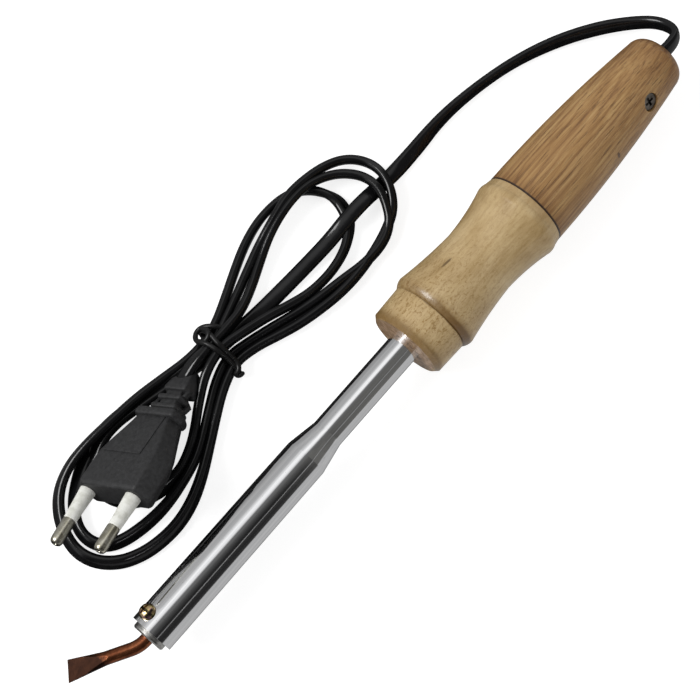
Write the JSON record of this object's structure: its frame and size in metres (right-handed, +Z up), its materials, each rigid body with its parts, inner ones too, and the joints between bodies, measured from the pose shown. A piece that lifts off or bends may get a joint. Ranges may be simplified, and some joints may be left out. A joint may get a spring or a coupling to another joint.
{
  "type": "soldering iron",
  "caption": "Electric soldering iron with a turned two-part wooden handle, stepped plated barrel, bent copper chisel bit, clamp screw, and a tied flat mains cord with a two-pin plug.",
  "frame": {"origin": "centre of the iron's footprint on the surface it lies on, without its cord", "axes": "+X along the iron from the bit to the cord end, +Z up, the tied cord on the +Y side"},
  "size_m": [0.2709, 0.0791, 0.0309],
  "materials": {
    "pale_wood": "varnished pale wood, stained darker round the collar and the nose edge",
    "brown_wood": "open-grained brown wood under a thin satin varnish",
    "plated_steel": "bright nickel-chrome plating with fine lengthwise drawing marks",
    "bush_steel": "turned steel",
    "copper": "oxidised copper, darker on the hammered blade",
    "yellow_zinc": "yellow passivated zinc with iridescent tints",
    "mica": "sheet mica",
    "ceramic": "white fired ceramic and glass fibre",
    "resistance_wire": "nickel-chromium wire",
    "brass": "turned brass",
    "dark_steel": "blackened steel, dull",
    "cord_black": "glossy black vinyl",
    "tie_black": "black vinyl-coated wire",
    "plug_black": "moulded dark vinyl, fine matte texture",
    "nickel": "nickel-plated brass pin",
    "sleeve_grey": "pale grey moulded insulation"
  },
  "bodies": {
    "iron": {"barrel": "plated_steel", "front_grip": "pale_wood", "rear_handle": "brown_wood", "bit_holder": "bush_steel", "heater_core_tube": "bush_steel", "inner_mica_wrap": "mica", "heater_winding": "resistance_wire", "outer_mica_wrap": "mica", "heater_insulation": "ceramic", "front_spacer": "ceramic", "rear_spacer": "ceramic", "heater_lead_left": "resistance_wire", "heater_lead_right": "resistance_wire", "lead_sleeve_left": "ceramic", "lead_sleeve_right": "ceramic", "terminal_block": "ceramic", "terminal_tube_left": "brass", "terminal_tube_right": "brass", "terminal_screws_left": "bush_steel", "terminal_screws_right": "bush_steel", "cord_core_left": "cord_black", "cord_core_right": "cord_black", "cord_in_handle": "cord_black", "cord_clamp_screw": "dark_steel", "cord_lead": "cord_black", "cord_hank": "cord_black", "cord_tail": "cord_black", "cord_tie": "tie_black", "plug_body": "plug_black", "plug_pin_left": "nickel", "plug_pin_right": "nickel", "pin_sleeve_left": "sleeve_grey", "pin_sleeve_right": "sleeve_grey"},
    "bit": {"copper_bit": "copper"},
    "clamp_screw": {"bit_screw": "yellow_zinc"}
  },
  "joints": [
    {"name": "bit_slide", "type": "slide", "parent": "iron", "child": "bit", "axis": [-1, 0, 0], "range_m": [0, 0.05]},
    {"name": "clamp_screw_turn", "type": "hinge", "parent": "iron", "child": "clamp_screw", "pos_m": [-0.10005, 0, 0.01435], "axis": [0, 0.5736, 0.8192], "range_deg": [0, 360]}
  ]
}
